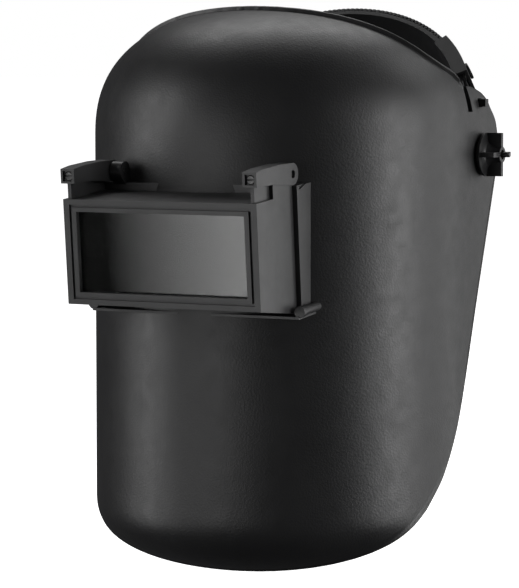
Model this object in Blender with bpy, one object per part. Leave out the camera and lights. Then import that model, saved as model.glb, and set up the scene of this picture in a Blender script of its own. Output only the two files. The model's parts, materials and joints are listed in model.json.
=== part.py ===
"""A flip-front welding helmet: shell, flip-up filter holder, tilt pivots and adjustable headgear.

The origin is the middle of the line between the two tilt pivots. The face looks along -Y and +Z is up.
"""

import math

import bmesh
import bpy
from mathutils import Matrix, Vector

MM = 0.001
GAP = 0.3 * MM

# Shell: a half-ellipse in plan with straight sides behind it, a domed top and a rounded chin.
HALF_WIDTH = 110 * MM
FRONT_DEPTH = 109 * MM
PLAN_CENTRE = -30 * MM
BACK = 40 * MM
WALL = 2.5 * MM
DOME_START = 10 * MM
DOME_HEIGHT = 75 * MM
DOME_POWER = 2.4
CHIN_START = -196 * MM
CHIN_HEIGHT = 42 * MM
CHIN_POWER = 2.55
# Side view of the shell's open edge, as (y, z): top rim, ear lobe, sloping rear edge, chin.
TOP_RIM = [(-92, 96), (-74, 83.5), (-60, 73), (-42, 55), (-26, 46.5), (-16.5, 38.5)]
EAR_LOBE = [(-16.5, 38.5), (-5, 37.5), (5, 34.5), (11.5, 30.5)]
EAR_BACK = [(13, 26.5), (19, 19), (21.7, 9), (20.6, -3), (16.5, -15.5)]
CHIN_EDGE = [(-30, -144), (-50, -180), (-75, -206.5), (-107, -230.5), (-118, -244)]

# Filter holder: its own frame has x across, y into the shell and z up, from the middle of its face.
FACE_CENTRE = Vector((0, -175 * MM, -50.5 * MM))
FACE_TILT = math.radians(5.1)
HOLDER = Matrix.Translation(FACE_CENTRE) @ Matrix.Rotation(FACE_TILT, 4, "X")
FACE_HALF_WIDTH = 59.3 * MM
FACE_HALF_HEIGHT = 28.75 * MM
BOX_DEPTH = 41 * MM
BOX_WALL = 2.2 * MM
BOTTOM_FLARE = 7.4 * MM
BEZEL_DEPTH = 3 * MM
OPENING_HALF = (51.5 * MM, 22 * MM)
GLASS_HALF = (54 * MM, 25.4 * MM)
HINGE_DEPTH = 41.5 * MM
HINGE_HEIGHT = 39.4 * MM
ARM_INNER = 51.5 * MM
ARM_OUTER = 60 * MM
ARM_EYE = 6
LUG_EYE = 5.4
HINGE_PIN_RADIUS = 2 * MM
FLANGE_HALF_WIDTH = 62 * MM
FLANGE_TOP = 33 * MM
FLANGE_BOTTOM = -36 * MM
COLLAR_HALF = (56.3 * MM, 27.5 * MM)
COLLAR_BACK = 62 * MM
SCREW_PLACE = (59.2 * MM, 30.2 * MM)
STUD_PLACE = (64.4 * MM, -34.1 * MM)

# Headgear: the band is an ellipse round the head and the crown strap an arch that leans back.
BAND_HALF_WIDTH = 84 * MM
BAND_HALF_LENGTH = 98 * MM
BAND_CENTRE = 2 * MM
BAND_LOW = -8 * MM
BAND_HIGH = 22 * MM
BAND_THICK = 1.8 * MM
CROWN_LEAN = math.radians(43)
CROWN_HALF_WIDTH = 99 * MM
CROWN_RADIUS = 99.5 * MM
CROWN_STRAP_HALF = 15 * MM
INNER_STRAP_THICK = 2.6 * MM
CROWN_PEG = 52
CROWN_RIVET = 75
RATCHET_HEIGHT = 7 * MM
RATCHET_ANGLE = math.radians(24)

# Tilt pivots, measured outwards along X.
BOLT_HOLE = 2.8 * MM
BOSS_RADIUS = 11 * MM
BOSS_LENGTH = 17.2 * MM
KNOB_START = 112 * MM
STOP_HOLE = (0.5 * MM, 29.2 * MM)
STOP_HOLE_SIDE = 5 * MM

SIDES = (("left", -1), ("right", 1))


def clear_scene():
    for old in list(bpy.data.objects):
        bpy.data.objects.remove(old, do_unlink=True)


def material(name, colour, roughness, metallic=0.0):
    made = bpy.data.materials.new(name)
    made.use_nodes = True
    shader = made.node_tree.nodes["Principled BSDF"]
    shader.inputs["Base Color"].default_value = (*colour, 1.0)
    shader.inputs["Roughness"].default_value = roughness
    shader.inputs["Metallic"].default_value = metallic
    return made


def solid(points, faces, frame=None):
    """A scratch object from corner points and faces, with its faces turned outwards."""
    bm = bmesh.new()
    corners = [bm.verts.new(point) for point in points]
    for face in faces:
        bm.faces.new([corners[index] for index in face])
    if frame is not None:
        bm.transform(frame)
    bmesh.ops.recalc_face_normals(bm, faces=bm.faces)
    mesh = bpy.data.meshes.new("solid")
    bm.to_mesh(mesh)
    bm.free()
    made = bpy.data.objects.new("solid", mesh)
    bpy.context.scene.collection.objects.link(made)
    return made


def loft(rings, frame=None, closed=False):
    """Joins equal rings of points one to the next, with flat ends unless the rings close on themselves."""
    count = len(rings[0])
    points = [point for ring in rings for point in ring]
    faces = []
    spans = len(rings) if closed else len(rings) - 1
    for row in range(spans):
        below = row * count
        above = (row + 1) % len(rings) * count
        for column in range(count):
            after = (column + 1) % count
            faces.append((below + column, below + after, above + after, above + column))
    if not closed:
        faces.append(tuple(range(count)))
        faces.append(tuple(range(len(points) - count, len(points))))
    return solid(points, faces, frame)


def block(x, y, z, frame=None):
    """A box from three (low, high) pairs."""
    rings = [[(x[a], y[b], level) for a, b in ((0, 0), (1, 0), (1, 1), (0, 1))] for level in z]
    return loft(rings, frame)


def prism(outline, low, high, axis="X", frame=None):
    """An outline extruded along an axis: (y, z) points for X and (x, z) points for Y."""
    if axis == "X":
        rings = [[(level, a, b) for a, b in outline] for level in (low, high)]
    else:
        rings = [[(a, level, b) for a, b in outline] for level in (low, high)]
    return loft(rings, frame)


def turned(profile, centre, axis, segments=24):
    """A profile of (distance along the axis, radius) points turned round the axis; radius 0 ends it."""
    turn = Vector((0, 0, 1)).rotation_difference(Vector(axis)).to_matrix().to_4x4()
    frame = Matrix.Translation(Vector(centre)) @ turn
    rings = []
    ends = []
    for along, radius in profile:
        if radius == 0:
            ends.append(along)
            continue
        angles = [math.tau * step / segments for step in range(segments)]
        rings.append([(radius * math.cos(a), radius * math.sin(a), along) for a in angles])
    return loft(rings, frame, closed=not ends)


def rod(centre, axis, radius, length, segments=24):
    """A plain cylinder that starts at its centre point and runs along its axis."""
    return turned([(0, 0), (0, radius), (length, radius), (length, 0)], centre, axis, segments)


def boolean(target, operation, other):
    """Cuts, joins or keeps what two scratch objects share, and leaves the result in the first."""
    modifier = target.modifiers.new("boolean", "BOOLEAN")
    modifier.operation = operation
    modifier.solver = "EXACT"
    modifier.object = other
    graph = bpy.context.evaluated_depsgraph_get()
    mesh = bpy.data.meshes.new_from_object(target.evaluated_get(graph))
    target.modifiers.clear()
    target.data = mesh
    bpy.data.objects.remove(other, do_unlink=True)
    return target


def cut(target, *others):
    for other in others:
        boolean(target, "DIFFERENCE", other)
    return target


def join(target, *others):
    for other in others:
        boolean(target, "UNION", other)
    return target


def part(name, made, finish, origin=(0, 0, 0), smooth_angle=35):
    """Names a scratch object, gives it its material and puts its origin where it turns."""
    made.name = name
    made.data.name = name
    made.data.transform(Matrix.Translation(-Vector(origin)))
    made.location = origin
    made.data.materials.clear()
    made.data.materials.append(finish)
    made.data.shade_smooth()
    made.data.set_sharp_from_angle(angle=math.radians(smooth_angle))
    return made


def smooth_path(points, steps):
    """A curve through a few points, with the given number of steps between each two."""
    ends = [Vector(point) for point in points]
    ends = [2 * ends[0] - ends[1]] + ends + [2 * ends[-1] - ends[-2]]
    path = []
    for index in range(1, len(ends) - 2):
        before, start, end, after = ends[index - 1 : index + 3]
        for step in range(steps):
            t = step / steps
            path.append(
                0.5
                * (
                    2 * start
                    + (end - before) * t
                    + (2 * before - 5 * start + 4 * end - after) * t * t
                    + (3 * start - before - 3 * end + after) * t * t * t
                )
            )
    path.append(ends[-2])
    return [tuple(point) for point in path]


# ---------------------------------------------------------------- shell


def shell_rows(inset):
    """(height, scale of the plan) from the chin to the crown, for a surface inset from the skin."""
    rows = []
    for step in range(9):
        turn = math.radians(84) * (1 - step / 8)
        drop = math.sin(turn) ** (2 / CHIN_POWER)
        rows.append((CHIN_START - (CHIN_HEIGHT - inset) * drop, math.cos(turn) ** (2 / CHIN_POWER)))
    levels = 5
    for step in range(1, levels):
        rows.append((CHIN_START + (DOME_START - CHIN_START) * step / levels, 1.0))
    for step in range(13):
        turn = math.radians(86) * step / 12
        rise = math.sin(turn) ** (2 / DOME_POWER)
        rows.append((DOME_START + (DOME_HEIGHT - inset) * rise, math.cos(turn) ** (2 / DOME_POWER)))
    return rows


def shell_body(inset, columns=36):
    """The whole closed form of the shell, filled in, as if its back were walled off."""
    rings = []
    for height, scale in shell_rows(inset):
        ring = [((HALF_WIDTH - inset) * scale, BACK, height)]
        for step in range(columns + 1):
            turn = math.pi / 2 - math.pi * step / columns
            x = (HALF_WIDTH - inset) * scale * math.sin(turn)
            y = PLAN_CENTRE - (FRONT_DEPTH - inset) * scale * math.cos(turn)
            ring.append((x, y, height))
        ring.append((-(HALF_WIDTH - inset) * scale, BACK, height))
        rings.append(ring)
    return loft(rings)


def side_outline():
    """What the shell covers in side view, in metres."""
    edge = smooth_path(TOP_RIM, 4)[:-1]
    edge += EAR_LOBE
    edge += EAR_BACK
    edge += smooth_path(CHIN_EDGE, 4)
    edge += [(-170, -244), (-170, 96)]
    return [(y * MM, z * MM) for y, z in edge]


def make_shell(finish):
    made = shell_body(0)
    cut(made, shell_body(WALL))
    reach = HALF_WIDTH + 10 * MM
    boolean(made, "INTERSECT", prism(side_outline(), -reach, reach))
    clearance = 0.5 * MM
    aperture = [COLLAR_HALF[0] + clearance, COLLAR_HALF[1] + clearance]
    cut(
        made,
        block(
            (-aperture[0], aperture[0]),
            (20 * MM, 75 * MM),
            (-aperture[1], aperture[1]),
            HOLDER,
        ),
    )
    for _, side in SIDES:
        cut(made, rod((side * 100 * MM, 0, 0), (side, 0, 0), BOLT_HOLE + GAP, 20 * MM))
        half = STOP_HOLE_SIDE / 2
        cut(
            made,
            block(
                sorted((side * 100 * MM, side * 120 * MM)),
                (STOP_HOLE[0] - half, STOP_HOLE[0] + half),
                (STOP_HOLE[1] - half, STOP_HOLE[1] + half),
            ),
        )
        slit = [(-17.5, 45), (-13.6, 45), (-12.1, 24.2), (-18.6, 24.2)]
        low, high = sorted((side * 98 * MM, side * 120 * MM))
        cut(made, prism([(y * MM, z * MM) for y, z in slit], low, high))
        for level in (-1, 1):
            place = HOLDER @ Vector((side * SCREW_PLACE[0], 45 * MM, level * SCREW_PLACE[1]))
            cut(made, rod(place, HOLDER.to_3x3() @ Vector((0, 1, 0)), 1.7 * MM, 30 * MM, 12))
    return part("shell", made, finish)


# ---------------------------------------------------------------- filter holder


def hinge_point():
    return HOLDER @ Vector((0, HINGE_DEPTH, HINGE_HEIGHT))


def holder_rod(start, end, radius, segments=16):
    """A cylinder between two points given in the holder's own frame."""
    first = HOLDER @ Vector(start)
    last = HOLDER @ Vector(end)
    return rod(first, (last - first).normalized(), radius, (last - first).length, segments)


def arm_outline():
    """Side view of one hinge arm, as (depth, height) in the holder's frame: square nose and round eye."""
    outline = [(0, 37.2), (0, 45.2), (9, 46), (28, 46.1)]
    for step in range(11):
        turn = math.radians(95 - 185 * step / 10)
        outline.append((41.5 + ARM_EYE * math.cos(turn), 39.4 + ARM_EYE * math.sin(turn)))
    outline += [(32, 34.6), (20, 36.4), (9, 37)]
    return [(y * MM, z * MM) for y, z in outline]


def arm_bore():
    """Ends of the friction bore that runs along an arm from its nose to the hinge pin."""
    middle = (ARM_INNER + ARM_OUTER) / 2
    return Vector((middle, -1 * MM, 41.2 * MM)), Vector((middle, HINGE_DEPTH, HINGE_HEIGHT))


def make_front_housing(finish):
    """The flip-up box: bezel, four walls, necks, webs and the two hinge arms in one moulding."""
    low = FACE_HALF_HEIGHT
    outer = [(0, -low), (0, low), (BOX_DEPTH, low), (BOX_DEPTH, -low - BOTTOM_FLARE)]
    made = prism(outer, -FACE_HALF_WIDTH, FACE_HALF_WIDTH, frame=HOLDER)
    wide = FACE_HALF_WIDTH - BOX_WALL
    tall = FACE_HALF_HEIGHT - BOX_WALL
    behind = BOX_DEPTH + 5 * MM
    inner = [(BEZEL_DEPTH, -tall), (BEZEL_DEPTH, tall), (behind, tall), (behind, -tall - BOTTOM_FLARE)]
    cut(made, prism(inner, -wide, wide, frame=HOLDER))
    x, z = OPENING_HALF
    cut(made, block((-x, x), (-5 * MM, 10 * MM), (-z, z), HOLDER))
    wide, tall = x + 4.2 * MM, z + 3.8 * MM
    groove = block((-wide, wide), (-5 * MM, 1.4 * MM), (-tall, tall), HOLDER)
    wide, tall = x + 2.8 * MM, z + 2.4 * MM
    cut(groove, block((-wide, wide), (-6 * MM, 2 * MM), (-tall, tall), HOLDER))
    cut(made, groove)
    cut(made, shell_body(-1 * MM))
    for _, side in SIDES:
        neck = sorted((side * (FACE_HALF_WIDTH - BOX_WALL), side * FACE_HALF_WIDTH))
        join(made, block(neck, (19 * MM, 40.9 * MM), (20 * MM, 38 * MM), HOLDER))
        web = sorted((side * 55 * MM, side * 57.2 * MM))
        join(made, block(web, (2 * MM, 20 * MM), (27.5 * MM, 40 * MM), HOLDER))
        arm = prism(arm_outline(), *sorted((side * ARM_INNER, side * ARM_OUTER)), frame=HOLDER)
        join(made, arm)
        hole = ((side * 45 * MM, HINGE_DEPTH, HINGE_HEIGHT), (side * 65 * MM, HINGE_DEPTH, HINGE_HEIGHT))
        cut(made, holder_rod(*hole, HINGE_PIN_RADIUS + GAP))
        start, end = arm_bore()
        start.x *= side
        end.x *= side
        cut(made, holder_rod(start, end, 2.6 * MM))
        nose = sorted((side * 53 * MM, side * 58.6 * MM))
        cut(made, block(nose, (-2 * MM, 1.5 * MM), (38.4 * MM, 44 * MM), HOLDER))
    return part("front_housing", made, finish, hinge_point())


def make_friction_parts(name, side, steel, plastic, spring_steel):
    """The screw, spring and plug in one arm that press on the hinge pin, so that the front stays put."""
    start, end = arm_bore()
    start.x *= side
    end.x *= side
    along = (end - start).normalized()
    direction = (HOLDER.to_3x3() @ along).normalized()
    reach = (end - start).length
    head = HOLDER @ (start + along * 2.3 * MM)
    screw = turned(
        [(0, 0), (0, 2.3 * MM), (2 * MM, 2.3 * MM), (2 * MM, 1.2 * MM), (7 * MM, 1.2 * MM), (7 * MM, 0)],
        head,
        direction,
        16,
    )
    across = HOLDER.to_3x3() @ Vector((1, 0, 0))
    slot = rod(head - across * 4 * MM - direction * 0.1 * MM, across, 0.5 * MM, 8 * MM, 6)
    part("tension_screw_" + name, cut(screw, slot), steel, hinge_point())
    turns = 4
    coil_start = 9.8 * MM
    coil_length = 9 * MM
    side_way = direction.cross(across).normalized()
    rings = []
    steps = turns * 9
    for step in range(steps + 1):
        angle = math.tau * turns * step / steps
        radial = across * math.cos(angle) + side_way * math.sin(angle)
        centre = HOLDER @ (start + along * (coil_start + coil_length * step / steps)) + radial * 1.9 * MM
        ring = []
        for corner in range(6):
            turn = math.tau * corner / 6
            ring.append(centre + (radial * math.cos(turn) + direction * math.sin(turn)) * 0.4 * MM)
        rings.append(ring)
    part("friction_spring_" + name, loft(rings), spring_steel, hinge_point())
    plug_start = 20 * MM
    plug_length = reach - HINGE_PIN_RADIUS - GAP - plug_start
    plug = rod(HOLDER @ (start + along * plug_start), direction, 2.3 * MM, plug_length, 16)
    part("friction_plug_" + name, plug, plastic, hinge_point())


def make_glass(name, half, depth, thick, finish, origin):
    """One flat glass or plastic plate across the holder."""
    made = block((-half[0], half[0]), (depth, depth + thick), (-half[1], half[1]), HOLDER)
    return part(name, made, finish, origin)


def make_frame_ring(name, outer, inner, depth, thick, finish, origin):
    """A flat rectangular ring that holds a plate in place."""
    made = block((-outer[0], outer[0]), (depth, depth + thick), (-outer[1], outer[1]), HOLDER)
    hole = block((-inner[0], inner[0]), (depth - MM, depth + thick + MM), (-inner[1], inner[1]), HOLDER)
    return part(name, cut(made, hole), finish, origin)


def lug_outline():
    """Side view of a hinge lug of the base frame: a foot on the flange and a round eye."""
    outline = [(42.2, 31), (47.4, 31), (47.4, 33.2)]
    for step in range(10):
        turn = math.radians(-20 + 250 * step / 9)
        outline.append((41.5 + LUG_EYE * math.cos(turn), 39.4 + LUG_EYE * math.sin(turn)))
    return [(y * MM, z * MM) for y, z in outline]


def make_base_frame(finish):
    """The fixed frame: flange on the shell, collar through its aperture, hinge lugs, ledge and studs."""
    front = BOX_DEPTH + GAP
    skin = 2.5 * MM
    flange = block(
        (-FLANGE_HALF_WIDTH, FLANGE_HALF_WIDTH),
        (front, 70 * MM),
        (FLANGE_BOTTOM, FLANGE_TOP),
        HOLDER,
    )
    made = flange
    behind_collar = block(
        (-FLANGE_HALF_WIDTH + skin, FLANGE_HALF_WIDTH - skin),
        (front + skin, 75 * MM),
        (-26.3 * MM, 26.3 * MM),
        HOLDER,
    )
    between_corners = block(
        (-55.2 * MM, 55.2 * MM),
        (front + skin + 0.1 * MM, 76 * MM),
        (FLANGE_BOTTOM + skin, FLANGE_TOP - skin),
        HOLDER,
    )
    cut(made, behind_collar, between_corners)
    ledge = [(33, -36.6), (33, -38), (60, -38), (60, -35), (43, -35), (41.6, -36.6)]
    ledge = [(y * MM, z * MM) for y, z in ledge]
    join(made, prism(ledge, -STUD_PLACE[0], STUD_PLACE[0], frame=HOLDER))
    for _, side in SIDES:
        x, z = side * STUD_PLACE[0], STUD_PLACE[1]
        join(made, holder_rod((x, 36 * MM, z), (x, 62 * MM, z), 2.5 * MM))
        join(made, holder_rod((x, 34 * MM, z), (x, 36.6 * MM, z), 3.2 * MM))
        notch = [(41.8, 34.5), (44.2, 30.6), (57, 34.5)]
        notch = [(y * MM, z * MM) for y, z in notch]
        cut(made, prism(notch, *sorted((side * 60.9 * MM, side * 64 * MM)), frame=HOLDER))
    cut(made, shell_body(-GAP))
    x, z = COLLAR_HALF
    tube = block((-x, x), (front + 0.5 * MM, COLLAR_BACK), (-z, z), HOLDER)
    join(made, tube)
    inside = (GLASS_HALF[0] + GAP, GLASS_HALF[1] + GAP)
    bore = block((-inside[0], inside[0]), (front + 2 * MM, 80 * MM), (-inside[1], inside[1]), HOLDER)
    cut(made, bore)
    x, z = OPENING_HALF
    cut(made, block((-x, x), (front - 10 * MM, 60 * MM), (-z, z), HOLDER))
    for _, side in SIDES:
        lug = sorted((side * 44 * MM, side * 51.1 * MM))
        join(made, prism(lug_outline(), *lug, frame=HOLDER))
        hole = ((side * 40 * MM, HINGE_DEPTH, HINGE_HEIGHT), (side * 60 * MM, HINGE_DEPTH, HINGE_HEIGHT))
        cut(made, holder_rod(*hole, HINGE_PIN_RADIUS + GAP))
        for level in (-1, 1):
            x, z = side * SCREW_PLACE[0], level * SCREW_PLACE[1]
            cut(made, holder_rod((x, 45 * MM, z), (x, 80 * MM, z), 1.5 * MM, 12))
    return part("base_frame", made, finish)


def make_shell_retainer(finish):
    """The ring inside the shell that the frame screws pull against."""
    made = block((-64 * MM, 64 * MM), (45 * MM, 65 * MM), (-34.5 * MM, 34.5 * MM), HOLDER)
    x, z = COLLAR_HALF[0] + GAP, COLLAR_HALF[1] + GAP
    cut(made, block((-x, x), (40 * MM, 70 * MM), (-z, z), HOLDER))
    boolean(made, "INTERSECT", shell_body(WALL + GAP))
    for _, side in SIDES:
        for level in (-1, 1):
            x, z = side * SCREW_PLACE[0], level * SCREW_PLACE[1]
            cut(made, holder_rod((x, 40 * MM, z), (x, 80 * MM, z), 1.5 * MM, 12))
    return part("shell_retainer", made, finish)


def make_frame_screws(finish):
    """Four screws that run from the retainer, through the shell, into the base frame."""
    profile = [(0, 0), (0, 2.6), (1.6, 2.6), (1.6, 1.2), (18, 1.2), (18, 0)]
    for side_name, side in SIDES:
        for level_name, level in (("upper", 1), ("lower", -1)):
            x, z = side * SCREW_PLACE[0], level * SCREW_PLACE[1]
            made = turned(
                [(a * MM, r * MM) for a, r in profile],
                HOLDER @ Vector((x, 66.9 * MM, z)),
                HOLDER.to_3x3() @ Vector((0, -1, 0)),
                12,
            )
            part("frame_screw_%s_%s" % (level_name, side_name), made, finish)


def make_hinge_pins(finish):
    """One pin each side, fixed in the base frame's lug, that the arm turns on."""
    for name, side in SIDES:
        start = (side * 43.6 * MM, HINGE_DEPTH, HINGE_HEIGHT)
        end = (side * 58.6 * MM, HINGE_DEPTH, HINGE_HEIGHT)
        part("hinge_pin_" + name, holder_rod(start, end, HINGE_PIN_RADIUS), finish)


# ---------------------------------------------------------------- tilt pivots


def make_wing_knob(name, side, finish, brass):
    """The four-winged nut on one tilt pivot, with its threaded insert."""
    axis = (side, 0, 0)
    origin = (side * KNOB_START, 0, 0)
    hub = [(0, 3.6), (0, 12.5), (1.4, 12.5), (1.6, 9), (2.6, 6.6), (4.6, 5.2), (8, 4.6), (10.4, 4.5)]
    hub += [(10.4, 2.7), (9.5, 2.7), (9.5, 3.6)]
    made = turned([(a * MM, r * MM) for a, r in hub], origin, axis, 32)
    for step in range(4):
        turn = Matrix.Rotation(math.pi / 2 * step, 4, "X")
        low, high = sorted((side * (KNOB_START + MM), side * (KNOB_START + 10.2 * MM)))
        blade = block((low, high), (-1.35 * MM, 1.35 * MM), (4.1 * MM, 12.3 * MM), turn)
        join(made, blade)
    part("wing_knob_" + name, made, finish, origin)
    insert = [(0.3, 2.7), (0.3, 3.3), (9.2, 3.3), (9.2, 2.7)]
    insert = turned([(a * MM, r * MM) for a, r in insert], origin, axis, 24)
    part("knob_insert_" + name, insert, brass, origin)


def make_pivot(name, side, steel, washer, plastic):
    """Bolt, washers and tilt stop plate of one pivot, from the band outwards."""
    axis = (side, 0, 0)
    bolt = [(80.4, 0), (80.4, 6.5), (81.8, 6.5), (81.8, 2.4), (120.5, 2.4), (120.9, 1.5)]
    bolt += [(126.6, 1.5), (126.9, 1.2), (126.9, 0)]
    bolt = turned([(a * MM, r * MM) for a, r in bolt], (0, 0, 0), axis, 20)
    part("pivot_bolt_" + name, bolt, steel)
    friction = [(101.8, 2.8), (101.8, 11), (103.8, 11), (103.8, 2.8)]
    friction = turned([(a * MM, r * MM) for a, r in friction], (0, 0, 0), axis, 24)
    part("friction_washer_" + name, friction, washer)
    outer = [(110.3, 2.8), (110.3, 10), (111.7, 10), (111.7, 2.8)]
    outer = turned([(a * MM, r * MM) for a, r in outer], (0, 0, 0), axis, 24)
    part("outer_washer_" + name, outer, washer)
    plate = [(104.1, 2.8), (104.1, 12.5), (107.1, 12.5), (107.1, 2.8)]
    plate = turned([(a * MM, r * MM) for a, r in plate], (0, 0, 0), axis, 24)
    low, high = sorted((side * 102.9 * MM, side * 104.5 * MM))
    join(plate, block((low, high), (-4 * MM, 4 * MM), (11.4 * MM, 32 * MM)))
    half = STOP_HOLE_SIDE / 2 - GAP
    low, high = sorted((side * 104 * MM, side * 112.4 * MM))
    peg = block(
        (low, high),
        (STOP_HOLE[0] - half, STOP_HOLE[0] + half),
        (STOP_HOLE[1] - half, STOP_HOLE[1] + half),
    )
    part("tilt_stop_plate_" + name, join(plate, peg), plastic)


# ---------------------------------------------------------------- headgear


def band_point(turn, offset, height):
    """A point of the head band's ellipse; turn is 0 at the forehead and grows towards +X."""
    x = (BAND_HALF_WIDTH + offset) * math.sin(turn)
    y = BAND_CENTRE - (BAND_HALF_LENGTH + offset) * math.cos(turn)
    return (x, y, height)


def band_strip(start, end, low_offset, high_offset, low, high, steps=24):
    """A strip that follows the head band between two angles, between two offsets and two heights."""
    rings = []
    for step in range(steps + 1):
        turn = math.radians(start + (end - start) * step / steps)
        shift = low_offset(turn) if callable(low_offset) else low_offset
        lift = high_offset(turn) if callable(high_offset) else high_offset
        rings.append(
            [
                band_point(turn, shift, low),
                band_point(turn, lift, low),
                band_point(turn, lift, high),
                band_point(turn, shift, high),
            ]
        )
    return loft(rings)


def crown_point(turn, offset, across):
    """A point of the crown arch; turn is 0 at the top and grows towards +X."""
    out = (CROWN_RADIUS + offset) * math.cos(turn)
    x = (CROWN_HALF_WIDTH + offset) * math.sin(turn)
    lean_y, lean_z = math.sin(CROWN_LEAN), math.cos(CROWN_LEAN)
    return (x, out * lean_y + across * lean_z, out * lean_z - across * lean_y)


def crown_strip(start, end, low_offset, high_offset, half, steps=16):
    rings = []
    for step in range(steps + 1):
        turn = math.radians(start + (end - start) * step / steps)
        rings.append(
            [
                crown_point(turn, low_offset, -half),
                crown_point(turn, high_offset, -half),
                crown_point(turn, high_offset, half),
                crown_point(turn, low_offset, half),
            ]
        )
    return loft(rings)


def band_rod(degrees, height, radius, low_offset, high_offset, segments=12):
    """A cylinder square to the head band."""
    start = Vector(band_point(math.radians(degrees), low_offset, height))
    end = Vector(band_point(math.radians(degrees), high_offset, height))
    return rod(start, (end - start).normalized(), radius, (end - start).length, segments)


def crown_rod(degrees, across, radius, low_offset, high_offset, segments=12):
    """A cylinder square to the crown arch."""
    start = Vector(crown_point(math.radians(degrees), low_offset, across))
    end = Vector(crown_point(math.radians(degrees), high_offset, across))
    return rod(start, (end - start).normalized(), radius, (end - start).length, segments)


def make_band(plastic, foam, steel):
    """The front band, its brow pad, and the two rear bands that the ratchet pulls together."""
    front = band_strip(-112, 112, -BAND_THICK, 0, BAND_LOW, BAND_HIGH, 44)
    for _, side in SIDES:
        cut(front, rod((side * 70 * MM, 0, 0), (side, 0, 0), BOLT_HOLE, 30 * MM, 16))
        cut(front, band_rod(side * 106, RATCHET_HEIGHT, 2.1 * MM, -8 * MM, 8 * MM))
    part("headband", front, plastic)
    pad = band_strip(-62, 62, -BAND_THICK - 5.3 * MM, -BAND_THICK - GAP, BAND_LOW - MM, BAND_HIGH + MM, 24)
    part("brow_pad", pad, foam)
    layers = {"left": 2.4 * MM, "right": GAP}
    for name, side in SIDES:

        def inner(turn, top=layers[name]):
            """Slides the left band outwards near the back, where it laps over the right one."""
            blend = min(1, max(0, (math.degrees(abs(turn)) - 130) / 25))
            return GAP + (top - GAP) * blend * blend * (3 - 2 * blend)

        def outer(turn, base=inner):
            return base(turn) + BAND_THICK

        rear = band_strip(side * 96, side * 187, inner, outer, BAND_LOW, BAND_HIGH, 26)
        low, high = RATCHET_HEIGHT - 6 * MM, RATCHET_HEIGHT + 6 * MM
        cut(rear, band_strip(side * 158, side * 184.5, -3 * MM, 9 * MM, low, high, 8))
        cut(rear, band_rod(side * 106, RATCHET_HEIGHT, 2.1 * MM, -8 * MM, 8 * MM))
        part("rear_band_" + name, rear, plastic)
        shank = band_rod(side * 106, RATCHET_HEIGHT, 1.8 * MM, -3.4 * MM, 3.8 * MM)
        join(shank, band_rod(side * 106, RATCHET_HEIGHT, 3.6 * MM, 2.4 * MM, 3.9 * MM))
        join(shank, band_rod(side * 106, RATCHET_HEIGHT, 3.6 * MM, -3.6 * MM, -2.1 * MM))
        part("band_rivet_" + name, shank, steel)


def make_brackets(plastic, steel):
    """The pieces at the temples that carry the pivot bolts and the ends of the crown strap."""
    for name, side in SIDES:
        made = crown_strip(side * 98, side * 68, -5.4 * MM, -2.9 * MM, 15.5 * MM, 12)
        join(made, rod((side * (BAND_HALF_WIDTH + GAP), 0, 0), (side, 0, 0), BOSS_RADIUS, BOSS_LENGTH, 28))
        cut(made, rod((side * 80 * MM, 0, 0), (side, 0, 0), BOLT_HOLE, 30 * MM, 16))
        place = side * CROWN_RIVET
        cut(made, crown_rod(place, 0, 2.1 * MM, -9 * MM, 6 * MM))
        part("side_bracket_" + name, made, plastic)
        high = 2.4 * MM if side < 0 else GAP
        shank = crown_rod(place, 0, 1.8 * MM, -7 * MM, high + 1.2 * MM)
        join(shank, crown_rod(place, 0, 3.6 * MM, high, high + 1.4 * MM))
        join(shank, crown_rod(place, 0, 3.6 * MM, -7.2 * MM, -5.7 * MM))
        part("strap_rivet_" + name, shank, steel)


def make_crown(plastic):
    """Two strap halves that lap over the crown, the buckle on the right and the peg that sets their length."""
    right = crown_strip(81.5, -14, -INNER_STRAP_THICK, 0, CROWN_STRAP_HALF, 26)
    left = crown_strip(-81.5, 64, GAP, GAP + BAND_THICK, CROWN_STRAP_HALF, 36)
    for strap, side in ((right, 1), (left, -1)):
        cut(strap, crown_rod(CROWN_PEG, 0, 2.3 * MM, -9 * MM, 9 * MM))
        cut(strap, crown_rod(side * CROWN_RIVET, 0, 2.1 * MM, -9 * MM, 9 * MM))
    part("crown_strap_right", right, plastic)
    part("crown_strap_left", left, plastic)
    buckle = crown_strip(42, 61.5, -4.4 * MM, 4 * MM, 17.2 * MM, 8)
    cut(buckle, crown_strip(38, 66, -2.9 * MM, 2.4 * MM, 15.4 * MM, 12))
    cut(buckle, crown_rod(CROWN_PEG, 0, 2.3 * MM, -9 * MM, 12 * MM))
    part("crown_buckle", buckle, plastic)
    peg = crown_rod(CROWN_PEG, 0, 2 * MM, -4 * MM, 4.8 * MM)
    join(peg, crown_rod(CROWN_PEG, 0, 5 * MM, 4.3 * MM, 5.8 * MM, 16))
    part("crown_peg", peg, plastic)


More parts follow.
